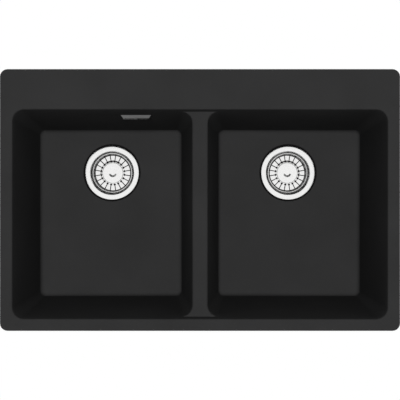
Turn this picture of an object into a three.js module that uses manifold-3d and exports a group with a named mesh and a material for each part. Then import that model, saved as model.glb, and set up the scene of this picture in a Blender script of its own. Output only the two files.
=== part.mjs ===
// Drop-in double bowl kitchen sink with two basket strainers, an overflow and worktop clamps.
// Millimetres. +X right, +Y towards the tap ledge, +Z up.
// The origin is the centre of the rim outline, on the worktop plane that the rim rests on.
import * as THREE from 'three';
import { mergeVertices } from 'three/addons/utils/BufferGeometryUtils.js';
import Module from 'manifold-3d';

const wasm = await Module();
wasm.setup();

// ---------------------------------------------------------------- driving dimensions
const OUTLINE = { width: 780, depth: 510, corner: 15 };
const DECK = { thickness: 8, edge: 3 };
const OPENING = { side: 24.8, front: 23.6, ledge: 79.2, corner: 22, edge: 3 };
const BOWL = { floor: -190.5, draft: 0.135, sideDraft: 0.118, fillet: 10, wall: 6.5, base: 10, fall: 1.5 };
const DIVIDER = { top: -10, halfWidth: 15.5, edge: 4, draft: 0.14, bridge: 8, reach: 40 };
const DRAIN = { x: 189.8, y: 58.8, recess: 62.7, recessDepth: 3.5, hole: 45, pad: 71, underside: -206 };
const GROOVE = { inset: 2.5, width: 5, depth: 3 };
const TAP_HOLES = { xs: [0, 120], y: 215, radius: 17.5, depth: 5 };
const LEDGE_RIB = { xs: [-260, -70, 70, 260], thickness: 7, drop: 26, outer: 239.5, foot: 9 };
const DIVIDER_WEB = { ys: [-110, 90], thickness: 7, bottom: -130 };

const FLANGE = { radius: 58.3, gasket: 61.5, throat: 44.6, step: 41.9, stepZ: -206, seatZ: -222.5, sheet: 1 };
const BASKET = { slots: 20, slotWidth: 2.4, rim: 43.1, depth: 10.5, hub: 23, hubRise: 1.2, sheet: 1 };
const CAP = { radius: 22.6, height: 1.8, lip: 8.8, crest: 7, dish: 5, lipHeight: 2.8 };
const WASTE = { flange: 57, bore: 46.5, neck: 29, seat: -254 };
const TAIL = { outer: 23.9, bore: 19.5, collarBottom: -261, shoulder: -263.5, bottom: -286 };
const SPIGOT = { outer: 10, bore: 8, z: -232, end: 80 };

const OVERFLOW = { x: -128, z: -50, width: 61, height: 20, proud: 5.5, bevel: 4.5, sheet: 1.2 };
const OVERFLOW_FIT = { seat: 2.5, screwGap: 0.8 };
const INLET = { x: 15, rows: [-3.2, 3.2], width: 16, height: 2.2 };
const DIMPLE = { back: 1.3, floor: 2.7, radius: 5.3, sheet: 1.2 };
const ELBOW = { width: 58, height: 28, depth: 34, wall: 2.2, flange: 4, spigotY: 21 };
const HOSE = { outer: 12.6, rib: 14.2, bore: 11.1, ribs: 34, straight: 24 };
const HOSE_NUT = { outer: 17, bore: 13.3, length: 16 };

const LUG = { radius: 5.4, hole: 3.5, top: -13, bottom: -26, fromWall: 4.6 };
const CLAMP = {
  screw: 2.35, head: 4.3, screwTop: -15, rise: 11,
  jawTop: -44, jawHeight: 5, hubRadius: 4.7, arm: 34, armWidth: 8, toe: 6,
};

const CORNER_STEPS = 5;
const FILLET_STEPS = 3;
const OPENING_TOP = DECK.thickness - OPENING.edge;
const COLORS = {
  stone: 0x373737, steel: 0xd9d9d6, plastic: 0x2a2b2c, rubber: 0x161616,
  brass: 0xb08d57, foam: 0x4a4a4a, zinc: 0xa9acae, hose: 0xc9c9c4,
};

// ---------------------------------------------------------------- materials
const finish = (color, roughness, metalness) =>
  new THREE.MeshStandardMaterial({ color, roughness, metalness });
const STONE = finish(COLORS.stone, 0.6, 0);
const STEEL = finish(COLORS.steel, 0.28, 1);
const PLASTIC = finish(COLORS.plastic, 0.5, 0);
const RUBBER = finish(COLORS.rubber, 0.85, 0);
const BRASS = finish(COLORS.brass, 0.35, 1);
const FOAM = finish(COLORS.foam, 0.95, 0);
const ZINC = finish(COLORS.zinc, 0.4, 1);
const HOSE_PLASTIC = finish(COLORS.hose, 0.55, 0);

// ---------------------------------------------------------------- geometry helpers

/** Signed volume of an indexed triangle mesh. */
function signedVolume(geometry) {
  const p = geometry.attributes.position;
  const index = geometry.index.array;
  const [a, b, c] = [new THREE.Vector3(), new THREE.Vector3(), new THREE.Vector3()];
  let sum = 0;
  for (let i = 0; i < index.length; i += 3) {
    a.fromBufferAttribute(p, index[i]);
    b.fromBufferAttribute(p, index[i + 1]);
    c.fromBufferAttribute(p, index[i + 2]);
    sum += a.dot(b.cross(c)) / 6;
  }
  return sum;
}

/** A merged, position-only copy of a closed geometry, with its faces pointing out. */
function welded(geometry) {
  const bare = geometry.clone();
  bare.deleteAttribute('normal');
  bare.deleteAttribute('uv');
  const merged = mergeVertices(bare, 1e-4);
  if (signedVolume(merged) < 0) {
    const index = merged.index.array;
    for (let i = 0; i < index.length; i += 3) [index[i], index[i + 1]] = [index[i + 1], index[i]];
  }
  return merged;
}

/** A closed geometry as a solid for boolean work. */
function solid(geometry) {
  const merged = welded(geometry);
  const vertProperties = new Float32Array(merged.attributes.position.array);
  const triVerts = new Uint32Array(merged.index.array);
  return new wasm.Manifold(new wasm.Mesh({ numProp: 3, vertProperties, triVerts }));
}

/** A solid back as a geometry. */
function surface(body) {
  const mesh = body.getMesh();
  const geometry = new THREE.BufferGeometry();
  geometry.setAttribute('position', new THREE.BufferAttribute(mesh.vertProperties, 3));
  geometry.setIndex(new THREE.BufferAttribute(mesh.triVerts, 1));
  return geometry;
}

const join = (first, ...others) => surface(others.reduce((body, g) => body.add(solid(g)), solid(first)));
const cut = (first, ...others) => surface(others.reduce((body, g) => body.subtract(solid(g)), solid(first)));

/** A revolved closed profile of [radius, height] pairs about +Z. */
function turned(profile, segments = 28) {
  const points = profile.map(([r, z]) => new THREE.Vector2(r, z));
  const onAxis = profile[0][0] === 0 && profile[profile.length - 1][0] === 0;
  if (!onAxis) points.push(points[0].clone());
  return new THREE.LatheGeometry(points, segments).rotateX(Math.PI / 2);
}

const box = (x0, x1, y0, y1, z0, z1) =>
  new THREE.BoxGeometry(x1 - x0, y1 - y0, z1 - z0).translate((x0 + x1) / 2, (y0 + y1) / 2, (z0 + z1) / 2);

/** An upright cylinder about (x, y) from z0 to z1. */
function post(x, y, radius, z0, z1, segments = 16) {
  const cylinder = new THREE.CylinderGeometry(radius, radius, z1 - z0, segments);
  return cylinder.rotateX(Math.PI / 2).translate(x, y, (z0 + z1) / 2);
}

/** Points of a rectangle {x0, x1, y0, y1} with round corners, anticlockwise from the +X +Y corner. */
function roundedLoop({ x0, x1, y0, y1 }, radius, z) {
  const [left, right, front, back] = [x0 + radius, x1 - radius, y0 + radius, y1 - radius];
  const corners = [[right, back], [left, back], [left, front], [right, front]];
  return corners.flatMap(([cx, cy], quarter) =>
    Array.from({ length: CORNER_STEPS + 1 }, (_, i) => {
      const angle = (Math.PI / 2) * (quarter + i / CORNER_STEPS);
      return new THREE.Vector3(cx + radius * Math.cos(angle), cy + radius * Math.sin(angle), z);
    }));
}

/** A circle with as many points as a rounded loop, matched to its corners. */
function circleLoop(x, y, radius, z) {
  const count = 4 * (CORNER_STEPS + 1);
  return Array.from({ length: count }, (_, i) => {
    const angle = (2 * Math.PI * (i + 0.5)) / count;
    return new THREE.Vector3(x + radius * Math.cos(angle), y + radius * Math.sin(angle), z);
  });
}

/** A closed skin through loops of equal point counts, with a fan over each end. */
function loft(loops) {
  const count = loops[0].length;
  const middle = (loop) => loop.reduce((sum, p) => sum.add(p), new THREE.Vector3()).divideScalar(count);
  const points = [...loops.flat(), middle(loops[0]), middle(loops[loops.length - 1])];
  const index = [];
  for (let row = 0; row + 1 < loops.length; row++) {
    for (let i = 0; i < count; i++) {
      const [a, b] = [row * count + i, row * count + ((i + 1) % count)];
      index.push(a, b, a + count, b, b + count, a + count);
    }
  }
  const [start, end] = [points.length - 2, points.length - 1];
  const last = (loops.length - 1) * count;
  for (let i = 0; i < count; i++) {
    const next = (i + 1) % count;
    index.push(start, next, i, end, last + i, last + next);
  }
  const geometry = new THREE.BufferGeometry().setFromPoints(points);
  geometry.setIndex(index);
  return geometry;
}

const inset = (rect, d) => ({ x0: rect.x0 + d, x1: rect.x1 - d, y0: rect.y0 + d, y1: rect.y1 - d });

// ---------------------------------------------------------------- the moulding

const outlineRect = {
  x0: -OUTLINE.width / 2, x1: OUTLINE.width / 2,
  y0: -OUTLINE.depth / 2, y1: OUTLINE.depth / 2,
};
const openingRect = {
  x0: outlineRect.x0 + OPENING.side,
  x1: outlineRect.x1 - OPENING.side,
  y0: outlineRect.y0 + OPENING.front,
  y1: outlineRect.y1 - OPENING.ledge,
};
const wallInset = (z, draft = BOWL.draft) => draft * (OPENING_TOP - z);

/** The opening's rectangle after its walls have leaned in down to height z. */
function leanedRect(z) {
  const [frontInset, sideInset] = [wallInset(z), wallInset(z, BOWL.sideDraft)];
  const { x0, x1, y0, y1 } = openingRect;
  return { x0: x0 + sideInset, x1: x1 - sideInset, y0: y0 + frontInset, y1: y1 - frontInset };
}

/** The bowl's wall rectangle at height z, for the right-hand bowl. */
function bowlRect(z) {
  const lean = DIVIDER.draft * (DIVIDER.top - DIVIDER.edge - z);
  return { ...leanedRect(z), x0: DIVIDER.halfWidth + lean };
}

/** Loops from a wall down round the fillet to the floor, for a skin moved out by the wall thickness. */
function floorLoops(floor, fillet, outward) {
  return Array.from({ length: FILLET_STEPS + 1 }, (_, i) => {
    const angle = (Math.PI / 2) * (i / FILLET_STEPS);
    const z = floor + fillet * (1 - Math.sin(angle));
    const rect = inset(bowlRect(floor + fillet), fillet * (1 - Math.cos(angle)) - outward);
    return roundedLoop(rect, Math.max(OPENING.corner + outward - fillet * (1 - Math.cos(angle)), 4), z);
  });
}

/** The hollow of the right-hand bowl, from the divider's top to the recess of the drain. */
function bowlHollow() {
  const shoulder = DIVIDER.top - DIVIDER.edge;
  const wide = (z, step) => roundedLoop({ ...bowlRect(z), x0: DIVIDER.halfWidth - step }, OPENING.corner, z);
  const mouth = { ...inset(bowlRect(DIVIDER.top), 0.3), x0: DIVIDER.halfWidth - DIVIDER.edge };
  return loft([
    roundedLoop(mouth, OPENING.corner, DIVIDER.top + 2),
    wide(DIVIDER.top, DIVIDER.edge),
    wide(DIVIDER.top - 0.3 * DIVIDER.edge, 0.3 * DIVIDER.edge),
    roundedLoop(bowlRect(shoulder), OPENING.corner, shoulder),
    ...floorLoops(BOWL.floor, BOWL.fillet, 0),
    circleLoop(DRAIN.x, DRAIN.y, DRAIN.recess, BOWL.floor - BOWL.fall),
    circleLoop(DRAIN.x, DRAIN.y, DRAIN.recess, BOWL.floor - BOWL.fall - DRAIN.recessDepth),
  ]);
}

/** The outer skin of the right-hand bowl, from inside the deck to its underside. */
function bowlShell() {
  const outer = BOWL.fillet + BOWL.wall;
  const top = inset(bowlRect(1), -BOWL.wall);
  return loft([
    roundedLoop(top, OPENING.corner + BOWL.wall, 1),
    ...floorLoops(BOWL.floor - BOWL.base, outer, BOWL.wall),
  ]);
}

/** The opening above the divider, with its rounded rim. */
function recessHollow() {
  const rim = (lift, spread) =>
    roundedLoop(inset(openingRect, -spread), OPENING.corner + spread, OPENING_TOP + lift);
  return loft([
    rim(OPENING.edge + 2, OPENING.edge + 1),
    rim(OPENING.edge, OPENING.edge),
    rim(0.75 * OPENING.edge, 0.34 * OPENING.edge),
    rim(0, 0),
    roundedLoop(leanedRect(DIVIDER.top), OPENING.corner, DIVIDER.top),
  ]);
}

/** The deck slab with its rounded upper edge. */
function deckSlab() {
  const loop = (z, d) => roundedLoop(inset(outlineRect, d), OUTLINE.corner - d, z);
  const { thickness, edge } = DECK;
  return loft([
    loop(0, 0), loop(thickness - edge, 0), loop(thickness - 0.3 * edge, 0.3 * edge), loop(thickness, edge),
  ]);
}

/** A ring between two rounded outlines set in from the rim. */
function rimRing(from, to, z0, z1) {
  const loop = (d, z) => roundedLoop(inset(outlineRect, d), Math.max(OUTLINE.corner - d, 4), z);
  const skin = (d, low, high) => loft([loop(d, low), loop(d, high)]);
  return cut(skin(from, z0, z1), skin(to, z0 - 1, z1 + 1));
}

const mirrored = (geometry) => welded(geometry.clone().scale(-1, 1, 1));

/** Outer face of the bowl walls at height z, on the sides that face the worktop. */
const outerFace = (z, draft) => BOWL.wall - wallInset(z, draft);

const LUG_MIDDLE = (LUG.top + LUG.bottom) / 2;
const OVERFLOW_SEAT = openingRect.y1 + outerFace(OVERFLOW.z) + OVERFLOW_FIT.seat;
const sideX = openingRect.x1 + outerFace(LUG_MIDDLE, BOWL.sideDraft) + LUG.fromWall;
const frontY = openingRect.y0 - outerFace(LUG_MIDDLE) - LUG.fromWall;

/** Where the eight worktop clamps sit, and the turn that points each jaw's outward side. */
const CLAMPS = [
  { name: 'front_left', x: -190, y: frontY, turn: -Math.PI / 2 },
  { name: 'front_right', x: 190, y: frontY, turn: -Math.PI / 2 },
  { name: 'right_front', x: sideX, y: -120, turn: 0 },
  { name: 'right_rear', x: sideX, y: 90, turn: 0 },
  { name: 'rear_right', x: 260, y: LEDGE_RIB.outer, turn: Math.PI / 2 },
  { name: 'rear_left', x: -260, y: LEDGE_RIB.outer, turn: Math.PI / 2 },
  { name: 'left_rear', x: -sideX, y: 90, turn: Math.PI },
  { name: 'left_front', x: -sideX, y: -120, turn: Math.PI },
];

const placed = (geometry, clamp) => geometry.rotateZ(clamp.turn).translate(clamp.x, clamp.y, 0);

/** A moulded lug: a post joined to the wall or rib behind it. */
function lug(clamp) {
  const body = join(post(0, 0, LUG.radius, LUG.bottom, LUG.top, 12),
    box(-LUG.fromWall - 2, 0, -LUG.radius, LUG.radius, LUG.bottom, LUG.top));
  return placed(body, clamp);
}

/** A web under the tap ledge, deep at the bowl and shallow at the rim. */
function ledgeRib(x) {
  const near = openingRect.y1 + 2;
  const outline = new THREE.Shape();
  outline.moveTo(near, 1);
  outline.lineTo(LEDGE_RIB.outer, 1);
  outline.lineTo(LEDGE_RIB.outer, -LEDGE_RIB.drop);
  outline.lineTo(LEDGE_RIB.outer - LEDGE_RIB.foot, -LEDGE_RIB.drop);
  outline.lineTo(near, -2.4 * LEDGE_RIB.drop);
  const rib = new THREE.ExtrudeGeometry(outline, { depth: LEDGE_RIB.thickness, bevelEnabled: false });
  return rib.rotateX(Math.PI / 2).rotateZ(Math.PI / 2).translate(x - LEDGE_RIB.thickness / 2, 0, 0);
}

/** Flat pad behind the rear wall, which the overflow's gasket seals on. */
function overflowPad() {
  const { x, z } = OVERFLOW;
  return box(x - 31, x + 31, OVERFLOW_SEAT - 5, OVERFLOW_SEAT, z - 16, z + 16);
}

/** The overflow's slot through the rear wall of the left bowl. */
function overflowSlot() {
  const { x, z } = OVERFLOW;
  return box(x - 22, x + 22, OVERFLOW_SEAT - 20, OVERFLOW_SEAT + 5, z - 6, z + 6);
}

/** Room in a ledge rib for a clamp screw at the top of its travel. */
const screwClearance = ({ x, y }) =>
  post(x, y, CLAMP.screw + 0.5, LUG.bottom, CLAMP.screwTop + CLAMP.rise + 1, 10);

function sinkBody() {
  const hollow = bowlHollow();
  const shell = bowlShell();
  const drainPad = post(DRAIN.x, DRAIN.y, DRAIN.pad, DRAIN.underside, BOWL.floor - 1, 32);
  const { reach } = DIVIDER;
  const bridge = box(-reach, reach, openingRect.y0 - 5, openingRect.y1 + 5, DIVIDER.top - DIVIDER.bridge, 1);
  const webs = DIVIDER_WEB.ys.map((y) =>
    box(-reach + 4, reach - 4, y, y + DIVIDER_WEB.thickness, DIVIDER_WEB.bottom, DIVIDER.top - 4));
  const mass = join(deckSlab(), shell, mirrored(shell), drainPad, mirrored(drainPad), bridge, ...webs,
    overflowPad(), ...LEDGE_RIB.xs.map(ledgeRib), ...CLAMPS.map(lug));
  const drainHole = post(DRAIN.x, DRAIN.y, DRAIN.hole, DRAIN.underside - 5, BOWL.floor, 32);
  const groove = rimRing(GROOVE.inset, GROOVE.inset + GROOVE.width, -1, GROOVE.depth);
  const bowls = cut(mass, recessHollow(), hollow, mirrored(hollow), drainHole, mirrored(drainHole));
  return cut(bowls, groove, overflowSlot(),
    ...TAP_HOLES.xs.map((x) => post(x, TAP_HOLES.y, TAP_HOLES.radius, -1, TAP_HOLES.depth, 20)),
    ...CLAMPS.map((clamp) => post(clamp.x, clamp.y, LUG.hole, LUG.bottom - 5, LUG.top + 1, 10)),
    ...CLAMPS.filter(({ y }) => y === LEDGE_RIB.outer).map(screwClearance));
}

const rimSeal = () => rimRing(GROOVE.inset + 0.3, GROOVE.inset + GROOVE.width - 0.3, 0, GROOVE.depth);

// ---------------------------------------------------------------- strainer, about its own axis

const RECESS_FLOOR = BOWL.floor - BOWL.fall - DRAIN.recessDepth;
const FLANGE_UNDERSIDE = RECESS_FLOOR + 1.2;
const FLANGE_TOP = FLANGE_UNDERSIDE + 2;

/** A flat washer between two radii and two heights. */
const washer = (inner, outer, low, high, segments) =>
  turned([[inner, low], [outer, low], [outer, high], [inner, high]], segments);

const flangeGasket = () => washer(46.8, FLANGE.gasket, RECESS_FLOOR, FLANGE_UNDERSIDE, 24);

/** Pressed steel flange and cup: domed ring, throat, basket step, closing seat and a pierced bottom. */
function strainerFlange() {
  const { radius, throat, step, stepZ, seatZ, sheet } = FLANGE;
  const cup = turned([
    [radius, FLANGE_UNDERSIDE], [radius - 0.8, FLANGE_TOP - 0.4], [52, FLANGE_TOP], [48, FLANGE_TOP - 0.4],
    [45, FLANGE_TOP - 2], [throat - sheet, FLANGE_TOP - 6], [throat - sheet, stepZ], [step, stepZ],
    [step - 0.6, seatZ + 5], [step - 5, seatZ], [0, seatZ],
    [0, seatZ - sheet], [step - 4.6, seatZ - sheet], [step, seatZ + 4.6], [step + 0.6, stepZ - sheet],
    [throat, stepZ - sheet], [throat, FLANGE_UNDERSIDE - 1.5], [throat + 1.2, FLANGE_UNDERSIDE],
  ], 24);
  const windows = [0, 1, 2, 3].map((i) =>
    drainWindow(12, 28).rotateZ((i + 0.5) * Math.PI / 2).translate(0, 0, seatZ));
  return cut(cup, post(0, 0, 3.4, seatZ - 5, seatZ + 5, 12), ...windows);
}

/** A quarter window between two radii, for piercing a cup's bottom. */
function drainWindow(inner, outer) {
  const half = 0.6;
  const outline = new THREE.Shape();
  outline.absarc(0, 0, outer, -half, half, false);
  outline.absarc(0, 0, inner, half - 0.12, -half + 0.12, true);
  const window = new THREE.ExtrudeGeometry(outline, { depth: 8, bevelEnabled: false, curveSegments: 3 });
  return window.translate(0, 0, -4);
}

const TROUGH = FLANGE.stepZ - BASKET.depth;
const HUB_TOP = TROUGH + BASKET.hubRise;

/** Outline of one slot of the basket, with a diamond-shaped inner end. */
function slotOutline() {
  const half = BASKET.slotWidth / 2;
  const [tip, widest, neck, end] = [22.9, 24.9, 27, 38.6];
  const side = [[widest, 2.6], [neck, half], [end, half]];
  const back = side.map(([x, y]) => [x, -y]).reverse();
  return new THREE.Shape([[tip, 0], ...side, ...back].map(([x, y]) => new THREE.Vector2(x, y)));
}

/** The lift-out basket: rolled rim, steep side, flat floor and low hub, pierced by radial slots. */
function basket() {
  const { slots, hub, rim, sheet } = BASKET;
  const seat = FLANGE.stepZ;
  const shell = turned([
    [rim - 0.6, seat], [rim, seat + 1.8], [rim - 0.3, seat + 3.2], [41.3, seat + 3.2], [40.6, seat + 1.4],
    [40, TROUGH + 2.5], [39.2, TROUGH + 0.7], [38, TROUGH], [27.6, TROUGH],
    [hub + 1, HUB_TOP - 0.2], [hub - 0.4, HUB_TOP], [0, HUB_TOP],
    [0, HUB_TOP - sheet], [hub, HUB_TOP - sheet], [27.2, TROUGH - sheet], [38.4, TROUGH - sheet],
    [40.7, TROUGH + 1.8], [41.2, seat],
  ], 2 * slots);
  const piercing = new THREE.ExtrudeGeometry(slotOutline(), { depth: 9, bevelEnabled: false });
  piercing.translate(0, 0, TROUGH - 3);
  const turn = (i) => (2 * Math.PI * (i + 0.5)) / slots;
  const cutters = Array.from({ length: slots }, (_, i) => piercing.clone().rotateZ(turn(i)));
  return cut(shell, post(0, 0, 3.3, HUB_TOP - 5, HUB_TOP + 5, 12), ...cutters);
}

/** Flat disc over the hub, with a pressed finger lip that stands up in front and fades out behind. */
function basketCap() {
  const { radius, height, lip, crest, dish, lipHeight } = CAP;
  const top = HUB_TOP + height;
  const disc = welded(turned([
    [0, HUB_TOP], [radius, HUB_TOP], [radius, top - 0.8], [radius - 0.8, top],
    [lip, top], [crest, top + lipHeight], [dish, top], [0, top],
  ], 18));
  const points = disc.attributes.position;
  for (let i = 0; i < points.count; i++) {
    const rise = points.getZ(i) - top;
    const share = Math.max(0.02, (-1 - points.getY(i)) / (lip - 1));
    if (rise > 0.01) points.setZ(i, top + rise * share);
  }
  return disc;
}

/** Stem riveted under the hub, with the collar that carries the seal. */
function basketStem() {
  const seal = FLANGE.seatZ + 3.2;
  const foot = FLANGE.seatZ + 1;
  return turned([
    [0, HUB_TOP], [3, HUB_TOP], [3, HUB_TOP - 1.7], [9, HUB_TOP - 2.3], [9, seal],
    [5.7, seal], [5.7, foot], [0, foot],
  ], 14);
}

/** Rubber disc that closes the cup's bottom when the basket is seated. */
function basketSeal() {
  const low = FLANGE.seatZ;
  return turned([
    [6, low + 1.2], [30, low + 1.2], [31, low], [34.5, low], [36.3, low + 1.6], [35, low + 3.2],
    [6, low + 3.2],
  ], 16);
}

function clampingScrew() {
  const top = FLANGE.seatZ;
  return turned([[0, top + 0.8], [6, top + 0.8], [6.6, top], [2.9, top], [2.9, top - 32], [0, top - 32]], 14);
}

const WASTE_TOP = DRAIN.underside - 2.2;

/** Hexagon nut in the pocket under the waste body's boss. */
const clampingNut = () => washer(3.6, 5.6, -252, -247, 6);

const bodyGasket = () => washer(47, 56, WASTE_TOP, DRAIN.underside, 20);

/** Moulded waste body: clamping rim, cup, funnel and a spider that holds the clamping nut. */
function wasteBody(withSpigot) {
  const { flange, bore, neck, seat } = WASTE;
  const cup = turned([
    [bore, WASTE_TOP], [flange, WASTE_TOP], [flange, WASTE_TOP - 4], [bore + 4, WASTE_TOP - 7],
    [bore + 3, -236], [neck, seat + 1], [neck, seat], [TAIL.bore, seat], [TAIL.bore, seat + 1.5],
    [bore - 1.5, -234.5],
  ], 24);
  const boss = turned([[3.3, -247], [6.4, -247], [6.4, -252.5], [9, -252.5], [9, -229], [3.3, -229]], 12);
  const within = solid(turned([[0, -253], [28, -253], [bore + 1, -236], [0, -236]], 28));
  const arm = (i) => box(7, 33, -2, 2, -250, -236).rotateZ((i * 2 + 0.5) * Math.PI / 3);
  const body = join(cup, boss, ...[0, 1, 2].map((i) => surface(solid(arm(i)).intersect(within))));
  if (!withSpigot) return body;
  const tube = (radius, from) => new THREE.CylinderGeometry(radius, radius, SPIGOT.end - from, 16)
    .translate(0, (SPIGOT.end + from) / 2, SPIGOT.z);
  return cut(join(body, tube(SPIGOT.outer, bore + 1)), tube(SPIGOT.bore, bore - 6).translate(0, 0.5, 0));
}

/** Threaded outlet tail, with a collar that is welded under the waste body's funnel. */
function outletTail() {
  const { outer, bore, collarBottom, shoulder, bottom } = TAIL;
  const { neck, seat } = WASTE;
  return turned([
    [bore, seat], [neck, seat], [neck, collarBottom], [outer, shoulder], [outer, bottom], [bore, bottom],
  ], 20);
}

// ---------------------------------------------------------------- overflow

const WALL_LEAN = Math.atan(BOWL.draft);
const overflowInnerY = openingRect.y1 - wallInset(OVERFLOW.z);

/** A rectangular frustum that narrows from the wall (y = 0) to its front (y = -length). */
function frustum(width, height, narrow, length) {
  const ring = (w, h, y) =>
    [[w, h], [-w, h], [-w, -h], [w, -h]].map(([x, z]) => new THREE.Vector3(x / 2, y, z / 2));
  return loft([ring(width, height, 0), ring(width - 2 * narrow, height - 2 * narrow, -length)]);
}

/** Bevelled steel cover, open at the back, with rows of inlet slots and a dimple for the screw's head. */
function overflowCover() {
  const { width, height, proud, bevel, sheet } = OVERFLOW;
  const inner = frustum(width - 2 * sheet, height - 2 * sheet, bevel, proud - sheet).translate(0, 0.01, 0);
  const [w, h] = [INLET.width / 2, INLET.height / 2];
  const slots = INLET.rows.flatMap((z) =>
    [-INLET.x, INLET.x].map((x) => box(x - w, x + w, -12, 3, z - h, z + h)));
  const { back, floor, radius, sheet: dimpleSheet } = DIMPLE;
  const round = (r, from, to) => post(0, 0, r, from, to, 12).rotateX(Math.PI / 2);
  const hollowed = cut(frustum(width, height, bevel, proud), inner);
  const shell = join(hollowed, round(radius + dimpleSheet, back, proud - 0.2));
  return cut(shell, ...slots, round(radius, floor, proud + 1), round(2.8, -9, 9));
}

const overflowScrew = () =>
  turned([[0, 1.6], [4, 1.2], [4.6, 0], [2, 0], [2, -24], [0, -24]], 10).rotateX(Math.PI / 2);

function overflowGasket() {
  const ring = box(-ELBOW.width / 2, ELBOW.width / 2, 0, 2, -ELBOW.height / 2, ELBOW.height / 2);
  return cut(ring, box(-23, 23, -1, 3, -7.5, 7.5));
}

/** Rear housing: flanged box with a screw post and a spigot that points down. */
function overflowElbow() {
  const { width, height, depth, wall, flange } = ELBOW;
  const [w, h] = [width / 2, height / 2];
  const shell = join(box(-w, w, 2, 2 + wall, -h, h), box(-w + flange, w - flange, 2, depth, -h + 2, h - 2),
    post(0, ELBOW.spigotY, SPIGOT.outer, -h - 22, -h + 4));
  const inner = join(box(-w + flange + wall, w - flange - wall, 1, depth - wall, -h + 2 + wall, h - 2 - wall),
    post(0, ELBOW.spigotY, SPIGOT.bore, -h - 23, 0));
  const screwPost = post(0, 0, 4, 4.2, depth - 1, 14).rotateX(-Math.PI / 2);
  const pilot = post(0, 0, 2.2, 0, 19, 14).rotateX(-Math.PI / 2);
  return cut(join(cut(shell, inner), screwPost), pilot);
}

/** Ribbed hose with its bore, along a curve: straight ends and a rib of two rings in each pitch between. */
function ribbedHose(curve) {
  const sides = 8;
  const length = curve.getLength();
  const pitch = (length - 2 * HOSE.straight) / HOSE.ribs;
  const outer = [[0, HOSE.outer]];
  for (let i = 0; i < HOSE.ribs; i++) {
    const start = HOSE.straight + i * pitch;
    outer.push([start + 0.15 * pitch, HOSE.outer], [start + 0.6 * pitch, HOSE.rib]);
  }
  outer.push([length - HOSE.straight, HOSE.outer], [length, HOSE.outer]);
  const bore = [[length, HOSE.bore]];
  for (let i = HOSE.ribs; i >= 0; i -= 4) bore.push([HOSE.straight + i * pitch, HOSE.bore]);
  bore.push([0, HOSE.bore]);
  const rings = [...outer, ...bore];
  const points = rings.flatMap(([along, radius]) => {
    const u = along / length;
    const centre = curve.getPointAt(u);
    const tangent = curve.getTangentAt(u);
    const across = new THREE.Vector3(1, 0, 0).cross(tangent).normalize();
    const up = tangent.clone().cross(across);
    return Array.from({ length: sides }, (_, k) => {
      const angle = (2 * Math.PI * (k + 0.5)) / sides;
      const aside = centre.clone().addScaledVector(across, radius * Math.cos(angle));
      return aside.addScaledVector(up, radius * Math.sin(angle));
    });
  });
  const index = [];
  for (let r = 0; r < rings.length; r++) {
    const next = (r + 1) % rings.length;
    for (let k = 0; k < sides; k++) {
      const [a, b] = [r * sides + k, r * sides + ((k + 1) % sides)];
      const [c, d] = [next * sides + k, next * sides + ((k + 1) % sides)];
      index.push(a, b, c, b, d, c);
    }
  }
  const geometry = new THREE.BufferGeometry().setFromPoints(points);
  geometry.setIndex(index);
  return welded(geometry);
}

const elbowBottom = OVERFLOW.z - ELBOW.height / 2 - 22;
const hoseTop = new THREE.Vector3(OVERFLOW.x, OVERFLOW_SEAT + ELBOW.spigotY, elbowBottom + 14);
const hoseEnd = new THREE.Vector3(-DRAIN.x, DRAIN.y + SPIGOT.end - 14, SPIGOT.z);

function hoseRoute() {
  const { x, y, z } = hoseTop;
  return new THREE.CatmullRomCurve3([
    hoseTop,
    new THREE.Vector3(x, y, z - HOSE.straight),
    new THREE.Vector3(x, y + 1, z - 62),
    new THREE.Vector3(x - 8, y, -175),
    new THREE.Vector3(x - 32, y - 6, -216),
    new THREE.Vector3(hoseEnd.x, hoseEnd.y + HOSE.straight + 14, SPIGOT.z),
    new THREE.Vector3(hoseEnd.x, hoseEnd.y + HOSE.straight, SPIGOT.z),
    hoseEnd,
  ], false, 'centripetal');
}

const hoseNut = () => {
  const { outer, bore, length } = HOSE_NUT;
  return turned([
    [bore, 0], [outer - 2, 0], [outer, 3], [outer, length - 2], [outer - 1, length], [bore, length],
  ], 12);
};

// ---------------------------------------------------------------- worktop clamps, about their screw

function clampInsert() {
  const { top, bottom } = LUG;
  return turned([
    [2.55, bottom - 1], [4.5, bottom - 1], [4.5, bottom], [3.2, bottom], [3.2, top - 1], [2.55, top - 1],
  ], 8);
}

function clampScrew() {
  const under = CLAMP.jawTop - CLAMP.jawHeight;
  const { screw, head, screwTop } = CLAMP;
  const body = turned([
    [0, under - 3.4], [head, under - 3.4], [head, under], [screw, under], [screw, screwTop - 1],
    [screw - 1, screwTop], [0, screwTop],
  ], 8);
  return cut(body, box(-3, 3, -0.6, 0.6, under - 5, under - 1.8));
}

/** Swing jaw parked along the wall: hub, tapering arm and a toe that grips the worktop from below. */
function clampJaw() {
  const { jawTop, jawHeight, hubRadius, arm, armWidth, toe } = CLAMP;
  const half = armWidth / 2;
  const outline = new THREE.Shape();
  outline.moveTo(-half, 0);
  outline.lineTo(-half + 0.6, arm);
  outline.lineTo(half - 0.6, arm);
  outline.lineTo(half, 0);
  outline.closePath();
  const plate = new THREE.ExtrudeGeometry(outline, { depth: jawHeight, bevelEnabled: false });
  plate.translate(0, 0, jawTop - jawHeight);
  const grip = box(-half + 0.8, half - 0.8, arm - 6, arm - 1, jawTop - 1, jawTop + toe);
  const hub = post(0, 0, hubRadius, jawTop - jawHeight, jawTop + 3, 12);
  return cut(join(plate, hub, grip), post(0, 0, CLAMP.screw + 0.25, jawTop - 20, jawTop + 20, 10));
}

// ---------------------------------------------------------------- assembly

const sink = new THREE.Group();

/** Adds a named mesh, optionally at a place and turn. */
function add(name, geometry, material, parent = sink) {
  const mesh = new THREE.Mesh(welded(geometry), material);
  mesh.name = name;
  parent.add(mesh);
  return mesh;
}

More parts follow.
